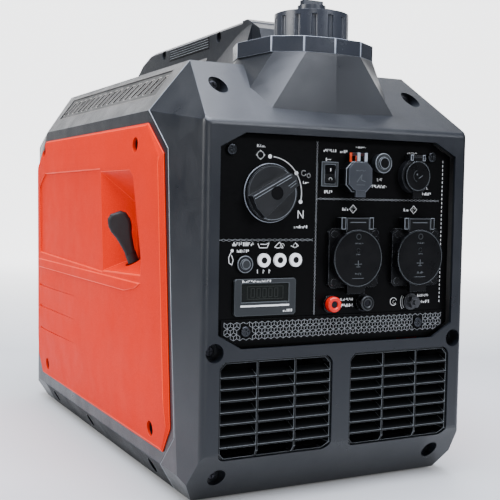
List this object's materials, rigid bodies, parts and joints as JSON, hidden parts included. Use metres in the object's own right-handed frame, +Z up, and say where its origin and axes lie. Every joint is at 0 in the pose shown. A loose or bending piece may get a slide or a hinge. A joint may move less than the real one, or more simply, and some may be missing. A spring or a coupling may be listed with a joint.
{
  "type": "portable generator",
  "caption": "Closed-case portable inverter generator with faceted shrouds, red side panels, roof carrying handle, filler cap, recoil starter and a front socket panel.",
  "frame": {"origin": "middle of the footprint, on the floor under the rubber feet", "axes": "+Z up, the control panel faces -Y, the recoil starter side faces -X, Y is the long axis"},
  "size_m": [0.3064, 0.534, 0.441],
  "materials": {
    "casing": "fine grained black plastic, satin",
    "red_panel": "orange-red moulded plastic, satin",
    "panel_black": "smooth black faceplate",
    "trim_black": "black plastic, satin",
    "rubber": "black rubber",
    "steel": "zinc plated",
    "dark_steel": "blackened steel",
    "aluminium": "cast, bead blasted",
    "red_knob": "red plastic",
    "lamp": "white lens",
    "meter": "grey bezel with dark display",
    "tank": "moulded polyethylene",
    "copper": "wound copper",
    "ceramic": "white ceramic",
    "cord": "braided cord"
  },
  "bodies": {
    "machine": {"front_shroud": "casing", "rear_shroud": "casing", "centre_cover": "casing", "base_tray": "casing", "left_side_panel": "red_panel", "right_side_panel": "red_panel", "vent_strips": "trim_black", "casing_screws": "dark_steel", "rubber_feet": "rubber", "recoil_housing": "dark_steel", "control_panel": "panel_black", "pattern_strip": "panel_black", "panel_screws": "dark_steel", "switch_bezel": "trim_black", "rocker_bezel": "trim_black", "usb_socket": "trim_black", "breaker_body": "trim_black", "reset_bezel": "steel", "indicator_lamps": "lamp", "run_meter": "meter", "dc_socket": "trim_black", "ac_sockets": "panel_black", "terminal_posts": "steel", "earth_terminal": "steel", "front_grilles": "trim_black", "filler_collar": "casing", "fuel_tank": "tank", "carry_handle": "casing", "handle_grips": "rubber", "handle_screws": "dark_steel", "alternator_stator": "copper", "engine_block": "aluminium", "cylinder_head": "aluminium", "spark_plug": "ceramic", "carburettor": "aluminium", "air_cleaner": "tank", "muffler": "dark_steel", "exhaust_outlet": "steel", "engine_frame": "dark_steel", "engine_bushes": "rubber", "inverter_module": "aluminium", "oil_filler": "trim_black"},
    "switch": {"switch_knob": "trim_black"},
    "eco_rocker": {"eco_rocker": "panel_black"},
    "usb_cover": {"usb_cover": "trim_black"},
    "breaker_button": {"breaker_button": "panel_black"},
    "reset_button": {"reset_button": "steel"},
    "dc_lid": {"dc_lid": "trim_black"},
    "ac_lid_one": {"ac_lid_one": "panel_black"},
    "ac_lid_two": {"ac_lid_two": "panel_black"},
    "red_knob": {"red_terminal_knob": "red_knob"},
    "black_knob": {"black_terminal_knob": "trim_black"},
    "fuel_cap": {"fuel_cap": "trim_black"},
    "breather": {"breather_lever": "trim_black"},
    "starter_grip": {"starter_grip": "rubber"},
    "recoil_reel": {"recoil_reel": "trim_black", "starter_rope": "cord"},
    "crankshaft": {"crankshaft": "dark_steel", "cooling_fan": "aluminium", "alternator_rotor": "dark_steel"}
  },
  "joints": [
    {"name": "engine_switch", "type": "hinge", "parent": "machine", "child": "switch", "pos_m": [-0.07, -0.2545, 0.264], "axis": [0, -1, 0], "range_deg": [-48.5, 55]},
    {"name": "eco_switch", "type": "hinge", "parent": "machine", "child": "eco_rocker", "pos_m": [-0.0124, -0.253, 0.2813], "axis": [1, 0, 0], "range_deg": [-9, 9]},
    {"name": "usb_cover_hinge", "type": "hinge", "parent": "machine", "child": "usb_cover", "pos_m": [0.0122, -0.2565, 0.2995], "axis": [1, 0, 0], "range_deg": [-90, 0]},
    {"name": "breaker_press", "type": "slide", "parent": "machine", "child": "breaker_button", "axis": [0, 1, 0], "range_m": [0, 0.003], "stiffness_N_per_m": 400},
    {"name": "reset_press", "type": "slide", "parent": "machine", "child": "reset_button", "axis": [0, 1, 0], "range_m": [0, 0.0025], "stiffness_N_per_m": 400},
    {"name": "dc_lid_hinge", "type": "hinge", "parent": "machine", "child": "dc_lid", "pos_m": [0.0762, -0.2628, 0.2996], "axis": [1, 0, 0], "range_deg": [-110, 0], "stiffness_Nm_per_rad": 0.02},
    {"name": "ac_lid_one_hinge", "type": "hinge", "parent": "machine", "child": "ac_lid_one", "pos_m": [0.013, -0.2615, 0.2415], "axis": [1, 0, 0], "range_deg": [-100, 0], "stiffness_Nm_per_rad": 0.03},
    {"name": "ac_lid_two_hinge", "type": "hinge", "parent": "machine", "child": "ac_lid_two", "pos_m": [0.08, -0.2615, 0.2415], "axis": [1, 0, 0], "range_deg": [-100, 0], "stiffness_Nm_per_rad": 0.03},
    {"name": "red_terminal_turn", "type": "hinge", "parent": "machine", "child": "red_knob", "pos_m": [-0.009, -0.2605, 0.1685], "axis": [0, -1, 0], "continuous": true},
    {"name": "black_terminal_turn", "type": "hinge", "parent": "machine", "child": "black_knob", "pos_m": [0.025, -0.2605, 0.1685], "axis": [0, -1, 0], "continuous": true},
    {"name": "fuel_cap_turn", "type": "hinge", "parent": "machine", "child": "fuel_cap", "pos_m": [0, -0.1985, 0.405], "axis": [0, 0, 1], "range_deg": [0, 90]},
    {"name": "breather_turn", "type": "hinge", "parent": "fuel_cap", "child": "breather", "pos_m": [0, -0.1985, 0.432], "axis": [0, 0, 1], "range_deg": [-90, 0]},
    {"name": "starter_pull", "type": "slide", "parent": "machine", "child": "starter_grip", "axis": [-0.34, 0.08, 0.937], "range_m": [0, 0.5]},
    {"name": "reel_turn", "type": "hinge", "parent": "machine", "child": "recoil_reel", "pos_m": [-0.1115, -0.0675, 0.15], "axis": [1, 0, 0], "range_deg": [-870, 0]},
    {"name": "crankshaft_turn", "type": "hinge", "parent": "machine", "child": "crankshaft", "pos_m": [0, -0.0675, 0.15], "axis": [1, 0, 0], "continuous": true}
  ],
  "couplings": [
    {"joint": "reel_turn", "follows": "starter_pull", "rad_per_m": -29.851}
  ]
}
